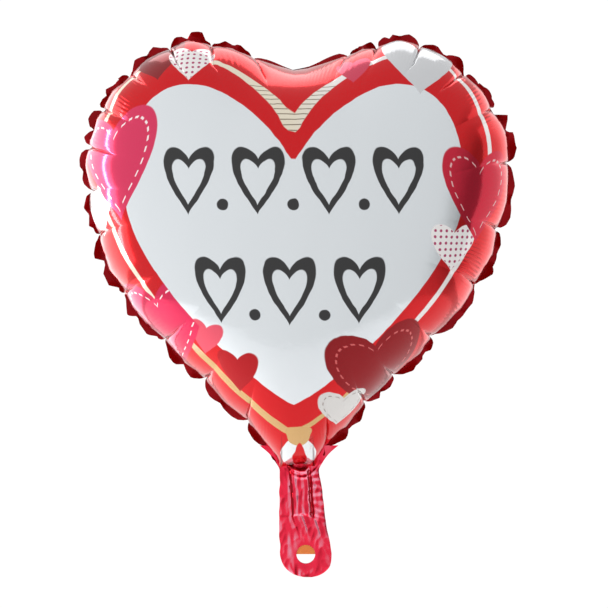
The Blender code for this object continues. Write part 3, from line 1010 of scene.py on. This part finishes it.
def tail_foil():
    """Crushed pink-red foil, paler where its facets turn to the light."""
    nodes = Nodes("tail_foil")
    where = object_space(nodes)
    streak = nodes.noise(where, 34.0, 2.0, (1.8, 1.0, 0.3))
    # Painted highlight and painted shade: by each facet's tilt, with noise streaks, the foil goes dark red,
    # pink-red or pale pink.
    uneven = nodes.maths("MULTIPLY_ADD", streak, 0.55, 0.24)
    tilt = nodes.maths("MULTIPLY_ADD", nodes.field("tilt"), -0.75, uneven)
    dark = nodes.mix(nodes.ramp(tilt, 0.05, 0.50), (0.30, 0.001, 0.008), (0.96, 0.030, 0.075))
    colour = nodes.mix(nodes.ramp(tilt, 0.55, 0.95), dark, (1.00, 0.330, 0.450))
    nodes.set(Base_Color=colour, Metallic=0.92)
    nodes.set(Roughness=nodes.maths("MULTIPLY_ADD", streak, 0.10, 0.08))
    nodes.bump(nodes.noise(where, 120.0, 1.0, (1.5, 1.0, 0.5)), 0.20, 0.0010)
    return nodes.material


def valve_film(name, low, high):
    """Soft cloudy film between two tints."""
    nodes = Nodes(name)
    where = object_space(nodes)
    cloud = nodes.noise(where, 90.0, 3.0)
    nodes.set(Base_Color=nodes.mix(cloud, low, high), Alpha=0.9)
    nodes.set(Roughness=nodes.maths("MULTIPLY_ADD", cloud, 0.2, 0.25))
    nodes.bump(nodes.noise(where, 300.0, 2.0), 0.2, 0.0003)
    return nodes.material


# ---------------------------------------------------------------- studio

LIGHT_AIM = (0.0, 0.0, 0.2)

# Brightness: the backdrop, the surround from left to right, and how it falls off into the dark far right
BACKDROP = 1.05
SURROUND = (0.92, 0.72)
DARK_EDGE = (0.80, 0.93, 1.0, 0.40)

# Name, place, width and height (metres), and power (watts)
SOFT_LIGHTS = (
    ("left_box", (-1.16, 0.59, 0.25), 1.70, 1.50, 14.0),
    ("left_strip", (-1.25, 0.08, 0.25), 0.09, 1.10, 4.5),
    ("right_box", (1.16, 0.59, 0.30), 1.70, 1.50, 5.6),
    ("top_box", (0.0, 0.75, 1.35), 1.40, 0.70, 4.5),
)


def build_camera():
    data = bpy.data.cameras.new("camera")
    data.angle = 2.0 * math.atan(0.5 * FRAME_HEIGHT / -EYE[1])
    camera = bpy.data.objects.new("camera", data)
    bpy.context.scene.collection.objects.link(camera)
    camera.location = EYE
    camera.rotation_euler = (math.radians(90.0), 0.0, 0.0)
    bpy.context.scene.camera = camera


def soft_light(name, place, width, height, watts):
    """A softbox that faces the balloon."""
    data = bpy.data.lights.new(name, "AREA")
    data.shape = "RECTANGLE"
    data.size, data.size_y, data.energy = width, height, watts
    lamp = bpy.data.objects.new(name, data)
    bpy.context.scene.collection.objects.link(lamp)
    lamp.location = place
    lamp.rotation_euler = (Vector(LIGHT_AIM) - Vector(place)).to_track_quat("-Z", "Y").to_euler()


def map_range(tree, value, low, high, first, last):
    node = tree.nodes.new("ShaderNodeMapRange")
    tree.links.new(value, node.inputs["Value"])
    for name, number in (("From Min", low), ("From Max", high), ("To Min", first), ("To Max", last)):
        node.inputs[name].default_value = number
    return node.outputs[0]


def build_studio():
    """A white surround, dimmer on the right and dark at its far edge, with softboxes behind and beside."""
    world = bpy.data.worlds.new("studio")
    bpy.context.scene.world = world
    world.use_nodes = True
    tree = world.node_tree
    path = tree.nodes.new("ShaderNodeLightPath")
    place = tree.nodes.new("ShaderNodeTexCoord")
    split = tree.nodes.new("ShaderNodeSeparateXYZ")
    tree.links.new(place.outputs["Generated"], split.inputs[0])
    shade = tree.nodes.new("ShaderNodeMath")
    shade.operation = "MULTIPLY"
    tree.links.new(map_range(tree, split.outputs[0], -1.0, 1.0, *SURROUND), shade.inputs[0])
    tree.links.new(map_range(tree, split.outputs[0], *DARK_EDGE), shade.inputs[1])
    pick = tree.nodes.new("ShaderNodeMix")
    tree.links.new(path.outputs["Is Camera Ray"], pick.inputs[0])
    tree.links.new(shade.outputs[0], pick.inputs[2])
    pick.inputs[3].default_value = BACKDROP
    tree.links.new(pick.outputs[0], tree.nodes["Background"].inputs["Strength"])
    tree.nodes["Background"].inputs["Color"].default_value = (1.0, 1.0, 1.0, 1.0)
    bpy.context.scene.view_settings.view_transform = "Standard"
    for light in SOFT_LIGHTS:
        soft_light(*light)


def build_floor():
    place = (0.0, 0.25, -0.50)
    bpy.ops.mesh.primitive_circle_add(vertices=96, radius=1.1, fill_type="NGON", location=place)
    floor = bpy.context.object
    floor.name = "floor"
    nodes = Nodes("floor_paper")
    tone = nodes.noise(object_space(nodes), 3.0, 2.0)
    nodes.set(Base_Color=nodes.mix(tone, (0.86, 0.86, 0.86), (0.90, 0.90, 0.90)), Roughness=0.7)
    floor.data.materials.append(nodes.material)


def better_valve():
    """The valve keeps its CAD shape and gets its film's looks, with heat-resist ink at its inlet."""
    clear = valve_film("valve_clear", (0.80, 0.84, 0.88), (0.92, 0.94, 0.96))
    inked = valve_film("valve_ink", (0.90, 0.15, 0.03), (1.00, 0.40, 0.06))
    for name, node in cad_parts.items():
        if name.startswith("valve_"):
            node.data.materials.clear()
            node.data.materials.append(inked if "inlet" in name else clear)


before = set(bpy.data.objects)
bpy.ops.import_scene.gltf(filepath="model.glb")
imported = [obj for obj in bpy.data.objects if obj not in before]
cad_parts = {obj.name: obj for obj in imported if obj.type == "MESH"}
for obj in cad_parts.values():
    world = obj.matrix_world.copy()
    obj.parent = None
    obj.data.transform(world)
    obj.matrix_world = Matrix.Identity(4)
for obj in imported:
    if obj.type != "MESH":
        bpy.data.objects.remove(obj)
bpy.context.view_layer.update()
build_camera()
film = inflate()
front, shape = build_panel("heart_front", "front_panel", -1.0, film, printed_foil_and_painted_light("front_print_and_painted_light"))
back, _ = build_panel("heart_back", "back_panel", 1.0, film, printed_foil_and_painted_light("back_print_and_painted_light"))
hem = build_hem(*shape, hem_foil_painted_shade())
front_tail, back_tail = build_tail(tail_foil())
better_valve()
build_floor()
build_studio()
bpy.context.view_layer.update()
